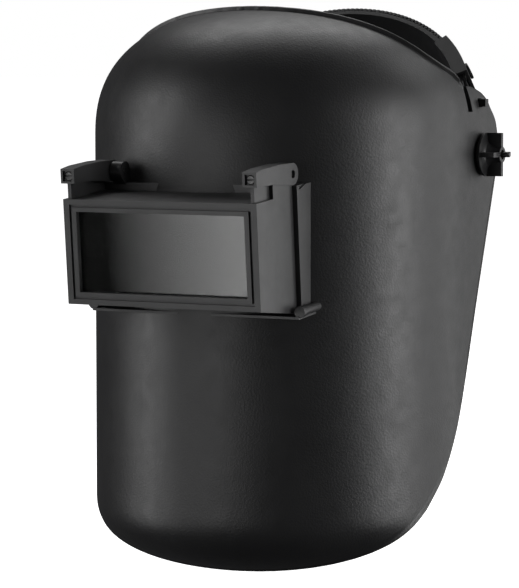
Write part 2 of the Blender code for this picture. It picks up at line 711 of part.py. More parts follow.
def make_ratchet(plastic, knob_finish, foam, steel):
    """The nape adjuster: housing and cover round the lapped bands, pinion, knob, screw and pad."""
    reach = math.degrees(RATCHET_ANGLE)
    start, end = 180 - reach, 180 + reach
    housing = band_strip(start, end, 4.6 * MM, 9 * MM, -11 * MM, 25 * MM, 14)
    for low, high in ((22.4 * MM, 24.8 * MM), (-10.8 * MM, -8.4 * MM)):
        join(housing, band_strip(start + 0.5, end - 0.5, GAP, 5.6 * MM, low, high, 14))
    rear = BAND_CENTRE + BAND_HALF_LENGTH
    middle = (0, rear, RATCHET_HEIGHT)
    cut(housing, rod((0, rear + 3 * MM, RATCHET_HEIGHT), (0, 1, 0), 5 * MM, 10 * MM))
    part("ratchet_housing", housing, plastic)
    cover = band_strip(start, end, -3 * MM, -GAP, -11 * MM, 25 * MM, 14)
    cut(cover, rod((0, rear - 10 * MM, RATCHET_HEIGHT), (0, 1, 0), 1.9 * MM, 15 * MM, 12))
    part("ratchet_cover", cover, plastic)
    teeth = 9
    outline = []
    for step in range(teeth * 4):
        radius = 5.2 if step % 4 < 2 else 4.1
        angle = math.tau * step / (teeth * 4)
        outline.append((radius * MM * math.cos(angle), RATCHET_HEIGHT + radius * MM * math.sin(angle)))
    pinion = prism(outline, rear + GAP, rear + 4.3 * MM, "Y")
    join(pinion, rod((0, rear + 3.5 * MM, RATCHET_HEIGHT), (0, 1, 0), 3.6 * MM, 9 * MM, 20))
    cut(pinion, rod((0, rear - MM, RATCHET_HEIGHT), (0, 1, 0), 1.5 * MM, 8 * MM, 12))
    part("ratchet_pinion", pinion, plastic, middle)
    lobes = 10
    grip = []
    for step in range(lobes * 6):
        angle = math.tau * step / (lobes * 6)
        radius = (17.5 + 0.9 * math.cos(lobes * angle)) * MM
        grip.append((radius * math.cos(angle), RATCHET_HEIGHT + radius * math.sin(angle)))
    knob = prism(grip, rear + 9.6 * MM, rear + 23 * MM, "Y")
    cut(knob, rod((0, rear + 8 * MM, RATCHET_HEIGHT), (0, 1, 0), 3.9 * MM, 5 * MM, 20))
    part("ratchet_knob", knob, knob_finish, middle)
    screw = turned(
        [(0, 0), (0, 3.2 * MM), (1.4 * MM, 3.2 * MM), (1.4 * MM, 1.2 * MM), (9 * MM, 1.2 * MM), (9 * MM, 0)],
        (0, rear - 4.8 * MM, RATCHET_HEIGHT),
        (0, 1, 0),
        16,
    )
    part("ratchet_screw", screw, steel)
    pad = band_strip(180 - 30, 180 + 30, -11 * MM, -5.2 * MM, -12 * MM, 26 * MM, 14)
    part("nape_pad", pad, foam)


def main():
    clear_scene()
    shell_black = material("shell_black", (0.022, 0.022, 0.023), 0.5)
    frame_black = material("frame_black", (0.03, 0.03, 0.032), 0.42)
    gear_black = material("headgear_black", (0.015, 0.015, 0.016), 0.45)
    knob_black = material("knob_black", (0.02, 0.02, 0.02), 0.4)
    foam = material("pad_foam", (0.05, 0.05, 0.055), 0.9)
    steel = material("bright_steel", (0.62, 0.62, 0.6), 0.3, 1.0)
    black_steel = material("blackened_steel", (0.13, 0.13, 0.13), 0.42, 1.0)
    brass = material("insert_brass", (0.78, 0.57, 0.28), 0.3, 1.0)
    clear = material("clear_cover", (0.8, 0.83, 0.84), 0.05)
    dark = material("dark_filter", (0.012, 0.016, 0.014), 0.06)
    fibre = material("washer_fibre", (0.09, 0.09, 0.085), 0.8)

    make_shell(shell_black)
    make_base_frame(frame_black)
    make_shell_retainer(frame_black)
    make_frame_screws(steel)
    make_hinge_pins(black_steel)
    front = BOX_DEPTH + GAP
    make_glass("inner_cover_plate", GLASS_HALF, front + 2.3 * MM, 1.5 * MM, clear, (0, 0, 0))
    clip = (GLASS_HALF[0], GLASS_HALF[1])
    window = (50 * MM, 21 * MM)
    make_frame_ring("inner_plate_clip", clip, window, front + 4.1 * MM, 2 * MM, frame_black, (0, 0, 0))

    hinge = hinge_point()
    make_front_housing(frame_black)
    make_glass("front_cover_plate", GLASS_HALF, BEZEL_DEPTH + GAP, 1.2 * MM, clear, hinge)
    make_glass("filter_plate", GLASS_HALF, BEZEL_DEPTH + 1.8 * MM, 3 * MM, dark, hinge)
    ring = (FACE_HALF_WIDTH - BOX_WALL - GAP, FACE_HALF_HEIGHT - BOX_WALL - GAP)
    make_frame_ring("filter_retainer", ring, window, BEZEL_DEPTH + 5.1 * MM, 2.4 * MM, gear_black, hinge)
    for name, side in SIDES:
        make_friction_parts(name, side, black_steel, gear_black, steel)
        make_pivot(name, side, black_steel, fibre, gear_black)
        make_wing_knob(name, side, knob_black, brass)
    make_band(gear_black, foam, steel)
    make_brackets(gear_black, steel)
    make_crown(gear_black)
    make_ratchet(gear_black, knob_black, foam, steel)


main()
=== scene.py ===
"""Looks of the welding helmet: fine meshes, soft pads and materials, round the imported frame."""

import json
import math

import bmesh
import bpy
from mathutils import Matrix, Vector

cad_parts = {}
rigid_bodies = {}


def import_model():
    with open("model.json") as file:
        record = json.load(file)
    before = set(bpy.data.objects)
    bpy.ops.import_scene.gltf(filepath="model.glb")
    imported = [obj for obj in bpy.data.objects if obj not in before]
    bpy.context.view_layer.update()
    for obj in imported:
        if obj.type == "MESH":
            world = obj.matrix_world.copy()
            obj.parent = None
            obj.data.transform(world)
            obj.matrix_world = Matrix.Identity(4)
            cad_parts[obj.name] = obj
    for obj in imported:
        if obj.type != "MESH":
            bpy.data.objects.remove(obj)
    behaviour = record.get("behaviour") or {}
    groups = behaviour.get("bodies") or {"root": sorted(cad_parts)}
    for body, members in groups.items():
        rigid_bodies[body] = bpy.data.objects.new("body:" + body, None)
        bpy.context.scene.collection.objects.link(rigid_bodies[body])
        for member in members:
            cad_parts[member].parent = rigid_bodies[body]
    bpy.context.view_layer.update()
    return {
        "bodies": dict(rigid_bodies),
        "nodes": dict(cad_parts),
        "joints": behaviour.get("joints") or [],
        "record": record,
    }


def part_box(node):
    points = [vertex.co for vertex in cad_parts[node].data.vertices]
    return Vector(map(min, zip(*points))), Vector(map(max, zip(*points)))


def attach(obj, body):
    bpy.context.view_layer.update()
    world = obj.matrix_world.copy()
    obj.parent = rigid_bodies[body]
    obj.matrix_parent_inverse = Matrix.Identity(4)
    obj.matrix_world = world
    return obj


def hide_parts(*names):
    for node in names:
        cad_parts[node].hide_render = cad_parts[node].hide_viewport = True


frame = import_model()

MM = 0.001
SIDES = (-1, 1)

# ---------------------------------------------------------------- sizes, from the frame where it holds them

SHELL_LOW, SHELL_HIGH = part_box("shell")
HALF_WIDTH = SHELL_HIGH.x
SHELL_FRONT = SHELL_LOW.y
PLAN_CENTRE = -30 * MM
FRONT_DEPTH = PLAN_CENTRE - SHELL_FRONT
WALL = 2.5 * MM
DOME_START = 10 * MM
DOME_HEIGHT = 75 * MM
DOME_POWER = 2.4
CHIN_START = -196 * MM
CHIN_HEIGHT = 42 * MM
CHIN_POWER = 2.55
EAR_TIP = 21.7
LIP = 2.0 * MM
EDGE_BEAD = 0.55 * MM
WINDOW_HALF_HEIGHT = 28 * MM
WINDOW_MARGIN = 2.8 * MM
PIVOT_HOLE = 3.1 * MM
SCREW_HOLE = 1.7 * MM
SCREW_LEVEL = 30.2 * MM
# The slit in each ear, as (y, z) in millimetres.
SLIT = [(-17.5, 46), (-13.6, 46), (-12.1, 24.2), (-18.6, 24.2)]
# Side view of the shell's open edge as (y, z) in millimetres, in two runs that meet at the ear tip.
UPPER_EDGE = [
    (-92, 96), (-74, 83.5), (-60, 73), (-42, 55), (-26, 46.5), (-16.5, 38.8),
    (-5, 37.8), (5, 34.8), (11.2, 30.8), (13.4, 26.5), (19, 19), (EAR_TIP, 9),
]
LOWER_EDGE = [
    (-118, -244), (-107, -230.5), (-75, -206.5), (-50, -180), (-30, -144),
    (-7, -80), (16.5, -15.5), (20.6, -3), (EAR_TIP, 9),
]
TILT = math.radians(5.1)
FACE_CENTRE = Vector((0, -175 * MM, -50.5 * MM))
HOLDER = Matrix.Translation(FACE_CENTRE) @ Matrix.Rotation(TILT, 4, "X")

BAND_HALF_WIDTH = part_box("headband")[1].x
BAND_CENTRE = 2 * MM
BAND_HALF_LENGTH = BAND_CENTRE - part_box("headband")[0].y
CROWN_LEAN = math.radians(43)
CROWN_HALF_WIDTH = 99 * MM
CROWN_RADIUS = 99.5 * MM
STRAP_HALF = 15 * MM
PEG_TURN = 52
RIVET_TURN = 75
GAP = 0.3 * MM


# ---------------------------------------------------------------- mesh helpers


def new_object(name, mesh):
    made = bpy.data.objects.new(name, mesh)
    bpy.context.scene.collection.objects.link(made)
    return made


def mesh_object(name, points, faces):
    """An object from points and faces, with its faces turned outwards."""
    bm = bmesh.new()
    corners = [bm.verts.new(point) for point in points]
    for face in faces:
        bm.faces.new([corners[index] for index in face])
    bmesh.ops.recalc_face_normals(bm, faces=bm.faces)
    mesh = bpy.data.meshes.new(name)
    bm.to_mesh(mesh)
    bm.free()
    return new_object(name, mesh)


def loft(name, rings):
    """Joins equal rings of points one to the next, with flat ends."""
    count = len(rings[0])
    points = [point for ring in rings for point in ring]
    faces = []
    for row in range(len(rings) - 1):
        below = row * count
        above = below + count
        for column in range(count):
            after = (column + 1) % count
            faces.append((below + column, below + after, above + after, above + column))
    faces.append(tuple(range(count)))
    faces.append(tuple(range(len(points) - count, len(points))))
    return mesh_object(name, points, faces)


def rods(name, places, segments=12):
    """Many cylinders in one scratch object, from (start, end, radius)."""
    points = []
    faces = []
    for start, end, radius in places:
        start, end = Vector(start), Vector(end)
        turn = Vector((0, 0, 1)).rotation_difference((end - start).normalized()).to_matrix()
        base = len(points)
        for level in (start, end):
            for step in range(segments):
                angle = math.tau * step / segments
                spoke = Vector((radius * math.cos(angle), radius * math.sin(angle), 0))
                points.append(level + turn @ spoke)
        for step in range(segments):
            after = (step + 1) % segments
            faces.append((base + step, base + after, base + segments + after, base + segments + step))
        faces.append(tuple(range(base, base + segments)))
        faces.append(tuple(range(base + segments, base + 2 * segments)))
    return mesh_object(name, points, faces)


def box_points(x, y, z, frame=Matrix.Identity(4)):
    """The two rings of a box from its (low, high) pairs, for loft."""
    rings = [[(x[a], y[b], level) for a, b in ((0, 0), (1, 0), (1, 1), (0, 1))] for level in z]
    return [[frame @ Vector(point) for point in ring] for ring in rings]


def apply_all(obj):
    """Replaces an object's mesh with what its modifiers make of it."""
    graph = bpy.context.evaluated_depsgraph_get()
    mesh = bpy.data.meshes.new_from_object(obj.evaluated_get(graph))
    obj.modifiers.clear()
    obj.data = mesh


def cut(target, other):
    modifier = target.modifiers.new("cut", "BOOLEAN")
    modifier.operation = "DIFFERENCE"
    modifier.solver = "EXACT"
    modifier.object = other
    apply_all(target)
    bpy.data.objects.remove(other, do_unlink=True)


def smooth(obj, degrees=40):
    obj.data.shade_smooth()
    obj.data.set_sharp_from_angle(angle=math.radians(degrees))


def bevel(obj, width, segments=2, degrees=32):
    obj.data.shade_smooth()
    modifier = obj.modifiers.new("rounded_edges", "BEVEL")
    modifier.width = width
    modifier.segments = segments
    modifier.limit_method = "ANGLE"
    modifier.angle_limit = math.radians(degrees)
    modifier.use_clamp_overlap = True
    evened = obj.modifiers.new("flat_faces", "WEIGHTED_NORMAL")
    evened.mode = "FACE_AREA"
    evened.weight = 100
    evened.keep_sharp = True


def paint(obj, material):
    obj.data.materials.clear()
    obj.data.materials.append(material)


# ---------------------------------------------------------------- materials


class Shader:
    """A small wrapper that adds nodes to a material's Principled shader."""

    def __init__(self, name):
        self.material = bpy.data.materials.new(name)
        self.material.use_nodes = True
        self.tree = self.material.node_tree
        self.out = self.tree.nodes["Principled BSDF"]
        self.coords = self.tree.nodes.new("ShaderNodeTexCoord")

    def node(self, kind, **values):
        made = self.tree.nodes.new(kind)
        for key, value in values.items():
            if key in made.inputs:
                made.inputs[key].default_value = value
            else:
                setattr(made, key, value)
        return made

    def link(self, start, end):
        self.tree.links.new(start, end)

    def noise(self, scale, detail=3.0, rough=0.5, stretch=None):
        made = self.node("ShaderNodeTexNoise", Scale=scale, Detail=detail, Roughness=rough)
        source = self.coords.outputs["Object"]
        if stretch:
            mapping = self.node("ShaderNodeMapping", Scale=stretch)
            self.link(source, mapping.inputs["Vector"])
            source = mapping.outputs["Vector"]
        self.link(source, made.inputs["Vector"])
        return made.outputs["Fac"]

    def cells(self, scale):
        made = self.node("ShaderNodeTexVoronoi", Scale=scale)
        self.link(self.coords.outputs["Object"], made.inputs["Vector"])
        return made.outputs["Distance"]

    def ramp(self, source, low, high, start=0.3, end=0.7):
        """Spreads a 0 to 1 source between two colours or greys."""
        made = self.tree.nodes.new("ShaderNodeValToRGB")
        for index, (place, value) in enumerate(((start, low), (end, high))):
            made.color_ramp.elements[index].position = place
            colour = value if isinstance(value, tuple) else (value, value, value)
            made.color_ramp.elements[index].color = (*colour, 1.0)
        self.link(source, made.inputs["Fac"])
        return made.outputs["Color"]

    def bump(self, source, strength, distance, below=None):
        made = self.node("ShaderNodeBump", Strength=strength, Distance=distance)
        self.link(source, made.inputs["Height"])
        if below is not None:
            self.link(below, made.inputs["Normal"])
        return made.outputs["Normal"]

    def set(self, **values):
        for key, value in values.items():
            name = key.replace("_", " ")
            target = self.out.inputs[name]
            if isinstance(value, bpy.types.NodeSocket):
                self.link(value, target)
            else:
                target.default_value = value


def plastic(name, dark, light, rough, grain=1400, depth=0.06, mottle=60, wear=0.05):
    """Moulded plastic: fine stipple, soft mottling in the gloss and slightly paler rubbed patches."""
    made = Shader(name)
    made.set(Base_Color=made.ramp(made.noise(mottle, 4), dark, light))
    made.set(Roughness=made.ramp(made.noise(mottle * 1.7, 5, 0.6), rough - wear, rough + wear))
    stipple = made.bump(made.noise(grain, 2, 0.6), 0.35, depth * MM)
    made.set(Normal=made.bump(made.noise(90, 3), 0.12, 0.4 * MM, stipple))
    return made.material


def shell_material():
    """Black polypropylene with a fine leather stipple, slightly uneven gloss and a few faint scuffs."""
    made = Shader("shell_plastic")
    made.set(Base_Color=made.ramp(made.noise(28, 5, 0.6), (0.014, 0.014, 0.0145), (0.021, 0.021, 0.0215)))
    made.set(Roughness=made.ramp(made.noise(120, 6, 0.65), 0.4, 0.5))
    grain = made.bump(made.cells(900), 0.42, 0.15 * MM)
    finer = made.bump(made.noise(1700, 2, 0.6), 0.25, 0.08 * MM, grain)
    made.set(Normal=made.bump(made.noise(22, 2), 0.2, 0.8 * MM, finer))
    return made.material


def metal(name, colour, rough, streak=(1, 1, 12)):
    """Plated or turned metal with fine streaks and small tarnish spots."""
    made = Shader(name)
    darker = tuple(part * 0.72 for part in colour)
    made.set(Metallic=1.0, Base_Color=made.ramp(made.noise(260, 4), darker, colour))
    made.set(Roughness=made.ramp(made.noise(700, 3, 0.5, streak), rough - 0.08, rough + 0.12))
    made.set(Normal=made.bump(made.noise(900, 2, 0.5, streak), 0.2, 0.03 * MM))
    return made.material


def filter_material():
    """Polished near-black filter glass with faint wipe marks."""
    made = Shader("dark_filter")
    made.set(Base_Color=made.ramp(made.noise(40), (0.005, 0.0055, 0.005), (0.008, 0.009, 0.0082)))
    made.set(Roughness=made.ramp(made.noise(60, 5, 0.6, (1, 1, 4)), 0.03, 0.07))
    made.set(IOR=1.52, Normal=made.bump(made.noise(18, 2), 0.03, 0.2 * MM))
    return made.material


def clear_material():
    """Thin clear plate with faint handling marks."""
    made = Shader("clear_plate")
    made.set(Base_Color=made.ramp(made.noise(30), (0.94, 0.94, 0.94), (0.98, 0.98, 0.98)))
    made.set(Roughness=made.ramp(made.noise(90, 5, 0.65), 0.01, 0.05))
    made.set(IOR=1.49, Transmission_Weight=1.0)
    return made.material


def foam_material():
    """Knitted cover over foam: a small regular weave with soft fuzz."""
    made = Shader("pad_foam")
    made.set(Base_Color=made.ramp(made.noise(400, 4), (0.03, 0.03, 0.034), (0.075, 0.075, 0.08)))
    made.set(Roughness=made.ramp(made.noise(300), 0.85, 0.98), Sheen_Weight=0.35, Sheen_Roughness=0.5)
    wave = made.node("ShaderNodeTexWave", Scale=420.0, Distortion=1.5, Detail=1.0, bands_direction="Z")
    made.link(made.coords.outputs["Object"], wave.inputs["Vector"])
    rib = made.bump(wave.outputs["Fac"], 0.5, 0.25 * MM)
    made.set(Normal=made.bump(made.noise(1500, 2), 0.4, 0.2 * MM, rib))
    return made.material


MATERIALS = {
    "shell_plastic": shell_material(),
    "holder_plastic": plastic(
        "holder_plastic", (0.036, 0.036, 0.037), (0.05, 0.05, 0.051), 0.42, 1500, 0.05
    ),
    "headgear_plastic": plastic(
        "headgear_plastic", (0.009, 0.009, 0.0095), (0.015, 0.015, 0.0155), 0.5, 1200, 0.04
    ),
    "knob_plastic": plastic(
        "knob_plastic", (0.016, 0.016, 0.0165), (0.026, 0.026, 0.027), 0.36, 1300, 0.04
    ),
    "washer_fibre": plastic("washer_fibre", (0.05, 0.048, 0.045), (0.11, 0.105, 0.1), 0.8, 900, 0.1, 200),
    "bright_steel": metal("bright_steel", (0.5, 0.5, 0.49), 0.42),
    "blackened_steel": metal("blackened_steel", (0.13, 0.13, 0.13), 0.42),
    "insert_brass": metal("insert_brass", (0.23, 0.18, 0.11), 0.45),
    "dark_filter": filter_material(),
    "clear_plate": clear_material(),
    "pad_foam": foam_material(),
}
SLOTS = {entry["node"]: entry["material_slot"] for entry in frame["record"]["subparts"]}
BODY = {node: body for body, nodes in frame["record"]["behaviour"]["bodies"].items() for node in nodes}


def finish_piece(obj, *nodes):
    """Gives a piece the material of the CAD nodes' slot and the body of those nodes, and hides the nodes.
    """
    paint(obj, MATERIALS[SLOTS[nodes[0]]])
    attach(obj, BODY[nodes[0]])
    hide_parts(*nodes)


# ---------------------------------------------------------------- shell


def smooth_path(points, steps):
    ends = [Vector(point) for point in points]
    ends = [2 * ends[0] - ends[1]] + ends + [2 * ends[-1] - ends[-2]]
    path = []
    for index in range(1, len(ends) - 2):
        before, start, end, after = ends[index - 1 : index + 3]
        for step in range(steps):
            t = step / steps
            path.append(
                0.5
                * (
                    2 * start
                    + (end - before) * t
                    + (2 * before - 5 * start + 4 * end - after) * t * t
                    + (3 * start - before - 3 * end + after) * t * t * t
                )
            )
    path.append(ends[-2])
    return path


def edge_height(path, y):
    """Height of an edge run at a depth, all in metres."""
    if y <= path[0].x:
        return path[0].y
    for start, end in zip(path, path[1:]):
        if y <= end.x:
            return start.y + (end.y - start.y) * (y - start.x) / max(end.x - start.x, 1e-9)
    return path[-1].y


def profile(step):
    """(height, scale of the plan) on the front profile: 0 to 1 is chin, 1 to 2 wall and 2 to 3 dome."""
    if step < 1:
        turn = math.radians(86) * (1 - step)
        drop = math.sin(turn) ** (2 / CHIN_POWER)
        return CHIN_START - CHIN_HEIGHT * drop, math.cos(turn) ** (2 / CHIN_POWER)
    if step < 2:
        return CHIN_START + (DOME_START - CHIN_START) * (step - 1), 1.0
    turn = math.radians(88) * (step - 2)
    rise = math.sin(turn) ** (2 / DOME_POWER)
    return DOME_START + DOME_HEIGHT * rise, math.cos(turn) ** (2 / DOME_POWER)


PROFILE_STEPS = 900
PROFILE = [profile(3 * step / PROFILE_STEPS) for step in range(PROFILE_STEPS + 1)]


def skin_point(column, height, scale):
    """A point of the outer skin. A column is an angle round the front or a depth on a straight side."""
    kind, value = column
    if kind == "round":
        x = HALF_WIDTH * scale * math.sin(value)
        return Vector((x, PLAN_CENTRE - FRONT_DEPTH * scale * math.cos(value), height))
    return Vector((HALF_WIDTH * scale * (1 if kind == "right" else -1), value, height))


def column_line(column, upper, lower):
    """The run of skin points of one column between the lower and the upper edge."""
    line = []
    for height, scale in PROFILE:
        point = skin_point(column, height, scale)
        line.append((point, edge_height(lower, point.y) <= point.z <= edge_height(upper, point.y)))
    middle = PROFILE_STEPS // 2
    if column[0] != "round":
        low = skin_point(column, edge_height(lower, column[1]), 1.0)
        inside = [point for point, kept in line if kept]
        top_height = edge_height(upper, column[1])
        inside = [low] + [point for point in inside if low.z + MM / 2 < point.z < top_height - MM / 2]
        scale = next((s for h, s in PROFILE if h >= top_height), 1.0)
        inside.append(skin_point(column, top_height, scale))
        return inside
    start = middle
    while start > 0 and line[start - 1][1]:
        start -= 1
    end = middle
    while end < PROFILE_STEPS and line[end + 1][1]:
        end += 1
    return [point for point, _ in line[start : end + 1]]


def at_distances(line, near_low, near_high, count):
    """Points along a line: at fixed distances near its two ends and evenly between them."""
    lengths = [0.0]
    for start, end in zip(line, line[1:]):
        lengths.append(lengths[-1] + (end - start).length)
    total = lengths[-1]
    squeeze = min(1.0, total / (2.2 * (near_low[-1] + near_high[-1])))
    first = near_low[-1] * squeeze
    last = total - near_high[-1] * squeeze
    wanted = [d * squeeze for d in near_low]
    wanted += [first + (last - first) * step / count for step in range(1, count)]
    wanted += [total - d * squeeze for d in reversed(near_high)]
    points = []
    index = 0
    for distance in wanted:
        while index < len(lengths) - 2 and lengths[index + 1] < distance:
            index += 1
        span = max(lengths[index + 1] - lengths[index], 1e-12)
        points.append(line[index].lerp(line[index + 1], (distance - lengths[index]) / span))
    return points, wanted, total


def step_up(value, low, high):
    t = min(1.0, max(0.0, (value - low) / (high - low)))
    return t * t * (3 - 2 * t)


def shell_columns():
    """The columns of the skin, from the left rear edge round the front to the right rear edge."""
    rear = EAR_TIP * MM
    depths = [PLAN_CENTRE + (rear - PLAN_CENTRE) * (1 - (1 - step / 22) ** 1.6) for step in range(1, 22)]
    depths.append(rear - 0.15 * MM)
    turns = [math.radians(-90 + 180 * step / 112) for step in range(113)]
    columns = [("left", depth) for depth in reversed(depths)]
    columns += [("round", turn) for turn in turns]
    return columns + [("right", depth) for depth in depths]


def shell_grid():
    """(points of the outer skin by column, how far each lies below the upper edge)."""
    upper = [Vector((p.x * MM, p.y * MM)) for p in smooth_path(UPPER_EDGE, 8)]
    lower = [Vector((p.x * MM, p.y * MM)) for p in smooth_path(LOWER_EDGE, 8)]
    near_high = [d * MM for d in (0, 0.5, 1.1, 1.8, 2.3, 2.7, 3.1, 3.6, 4.6, 6.5)]
    near_low = [d * MM for d in (0, 0.6, 1.2, 1.8, 2.6, 4, 6)]
    grid = []
    tops = []
    for column in shell_columns():
        points, wanted, total = at_distances(column_line(column, upper, lower), near_low, near_high, 78)
        grid.append(points)
        tops.append([total - distance for distance in wanted])
    return grid, tops


def shell_ring(grid, tops, i):
    """One section of the wall: up the outside, over the top, down the inside and round the lower edge."""
    line = grid[i]
    before = grid[max(i - 1, 0)]
    after = grid[min(i + 1, len(grid) - 1)]
    rim = 1 - step_up(line[-1].y, -24 * MM, -17 * MM)
    outer = []
    inner = []
    for j, point in enumerate(line):
        upwards = line[min(j + 1, len(line) - 1)] - line[max(j - 1, 0)]
        normal = (after[j] - before[j]).cross(upwards).normalized()
        lip = LIP * rim * (1 - step_up(tops[i][j], 2.1 * MM, 3.3 * MM))
        lip *= 0.72 + 0.28 * step_up(tops[i][j], 0, 0.8 * MM)
        from_low = tops[i][0] - tops[i][j]
        bead = EDGE_BEAD * (1 - step_up(from_low, 0.8 * MM, 2.6 * MM))
        outer.append(point + normal * (lip + bead))
        inner.append(point - normal * WALL)
    over_top = rounded_turn(outer[-1], inner[-1], outer[-2])
    under_edge = rounded_turn(inner[0], outer[0], outer[1])
    return outer + over_top + inner[::-1] + under_edge


def cut_openings(made):
    """Cuts the window, the pivot and screw holes, the stop holes and the slits."""
    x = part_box("inner_cover_plate")[1].x + WINDOW_MARGIN
    z = WINDOW_HALF_HEIGHT
    cut(made, loft("cutter", box_points((-x, x), (20 * MM, 75 * MM), (-z, z), HOLDER)))
    places = [((side * 100 * MM, 0, 0), (side * 120 * MM, 0, 0), PIVOT_HOLE) for side in SIDES]
    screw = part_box("frame_screw_upper_right")
    across_screw = (screw[0].x + screw[1].x) / 2
    for side in SIDES:
        for level in (-1, 1):
            ends = [HOLDER @ Vector((side * across_screw, y * MM, level * SCREW_LEVEL)) for y in (45, 75)]
            places.append((*ends, SCREW_HOLE))
    cut(made, rods("cutter", places, 24))
    for side in SIDES:
        x = sorted((side * 98 * MM, side * 120 * MM))
        cut(made, loft("cutter", box_points(x, (-2 * MM, 3 * MM), (26.7 * MM, 31.7 * MM))))
        rings = [[(level, y * MM, z * MM) for y, z in SLIT] for level in x]
        cut(made, loft("cutter", rings))


def make_shell():
    grid, tops = shell_grid()
    made = loft("shell_skin", [shell_ring(grid, tops, i) for i in range(len(grid))])
    cut_openings(made)
    smooth(made, 38)
    finish_piece(made, "shell")


def rounded_turn(start, end, before):
    """Points that round an edge from one surface to the other, bulging away from the point before it."""
    out = (start - before).normalized()
    turned = []
    for step in range(1, 5):
        angle = math.pi * step / 5
        middle = start.lerp(end, (1 - math.cos(angle)) / 2)
        turned.append(middle + out * 0.9 * MM * math.sin(angle))
    return turned


# ---------------------------------------------------------------- rigid parts that keep the CAD form


def dress(node, width, segments=2):
    """A copy of a CAD node with its triangles merged back into faces and its edges rounded."""
    bm = bmesh.new()
    bm.from_mesh(frame["nodes"][node].data)
    bmesh.ops.remove_doubles(bm, verts=bm.verts, dist=2e-6)
    bmesh.ops.dissolve_limit(bm, angle_limit=math.radians(0.6), verts=bm.verts, edges=bm.edges)
    mesh = bpy.data.meshes.new(node + "_fine")
    bm.to_mesh(mesh)
    bm.free()
    made = new_object(node + "_fine", mesh)
    if width:
        bevel(made, width, segments)
    else:
        made.data.shade_flat()
    finish_piece(made, node)


# ---------------------------------------------------------------- headgear


def band_point(turn, offset, height):
    x = (BAND_HALF_WIDTH + offset) * math.sin(turn)
    y = BAND_CENTRE - (BAND_HALF_LENGTH + offset) * math.cos(turn)
    return Vector((x, y, height))


def crown_point(turn, offset, across):
    out = (CROWN_RADIUS + offset) * math.cos(turn)
    x = (CROWN_HALF_WIDTH + offset) * math.sin(turn)
    lean_y, lean_z = math.sin(CROWN_LEAN), math.cos(CROWN_LEAN)
    return Vector((x, out * lean_y + across * lean_z, out * lean_z - across * lean_y))


def make_strap(node, start, end, low, high, notches, holes):
    """A strap half: a bent strip with turned-up edges, holes, and on one half fine teeth."""
    steps = 90
    half = STRAP_HALF
    lip = 0.55 * MM
    rings = []
    for step in range(steps + 1):
        turn = math.radians(start + (end - start) * step / steps)
        section = [
            (low, -half), (high, -half), (high, -half + 2 * MM), (high - lip, -half + 2.6 * MM),
            (high - lip, half - 2.6 * MM), (high, half - 2 * MM), (high, half), (low, half),
        ]
        rings.append([crown_point(turn, a, b) for a, b in section])
    made = loft(node + "_fine", rings)
    if notches:
        places = []
        for side in SIDES:
            for count in range(int((notches[1] - notches[0]) / 1.7)):
                turn = math.radians(notches[0] + 1.7 * count)
                edge = side * (half + 0.3 * MM)
                ends = [crown_point(turn, low - MM, edge), crown_point(turn, high + MM, edge)]
                places.append((*ends, 0.75 * MM))
        cut(made, rods("cutter", places, 8))
    side = 1 if start > 0 else -1
    drilled = []
    for degrees, radius in [(RIVET_TURN * side, 2.1 * MM)] + [(degrees, 2.3 * MM) for degrees in holes]:
        ends = [crown_point(math.radians(degrees), level * MM, 0) for level in (-9, 9)]
        drilled.append((*ends, radius))
    cut(made, rods("cutter", drilled, 24))
    bevel(made, 0.2 * MM, 1)
    finish_piece(made, node)


def make_pad(node, reach, inner, outer, low, high, centre=0.0, cell=10.0):
    """A stuffed pad that follows the band: cloth blown up a little, then quilted with sewn channels."""
    rings = []
    for step in range(49):
        turn = math.radians(centre - reach + 2 * reach * step / 48)
        ends = 1 - 0.55 * abs(step / 24 - 1) ** 10
        middle, half = (inner + outer) / 2, (outer - inner) / 2 * ends
        ring = []
        for corner in range(16):
            angle = math.tau * (corner + 0.5) / 16
            wide = math.copysign(abs(math.cos(angle)) ** 0.45, math.cos(angle))
            tall = math.copysign(abs(math.sin(angle)) ** 0.3, math.sin(angle))
            height = (low + high) / 2 + (high - low) / 2 * tall * (0.93 + 0.07 * ends)
            ring.append(band_point(turn, middle + half * wide, height))
        rings.append(ring)
    made = loft(node + "_soft", rings)
    inflate(made)
    subdivide = made.modifiers.new("finer", "SUBSURF")
    subdivide.levels = subdivide.render_levels = 1
    apply_all(made)
    span = math.radians(cell)
    for vertex in made.data.vertices:
        turn = math.atan2(vertex.co.x / BAND_HALF_WIDTH, -(vertex.co.y - BAND_CENTRE) / BAND_HALF_LENGTH)
        turn = (turn - math.radians(centre) + math.pi) % math.tau - math.pi
        away = abs((turn / span + 0.5) % 1 - 0.5) * span * BAND_HALF_WIDTH
        edge = min(vertex.co.z - low, high - vertex.co.z)
        seam = math.exp(-((away / (1.1 * MM)) ** 2)) + math.exp(-(((edge - 3.2 * MM) / (0.8 * MM)) ** 2))
        radial = Vector((vertex.co.x, vertex.co.y - BAND_CENTRE, 0)).normalized()
        behind = vertex.co.y - BAND_CENTRE
        ring_radius = Vector((vertex.co.x / BAND_HALF_WIDTH, behind / BAND_HALF_LENGTH)).length
        side = 1 if (ring_radius - 1) * BAND_HALF_LENGTH > (inner + outer) / 2 else -1
        vertex.co -= radial * side * 0.75 * MM * min(1.0, seam)
    smooth(made, 180)
    finish_piece(made, node)


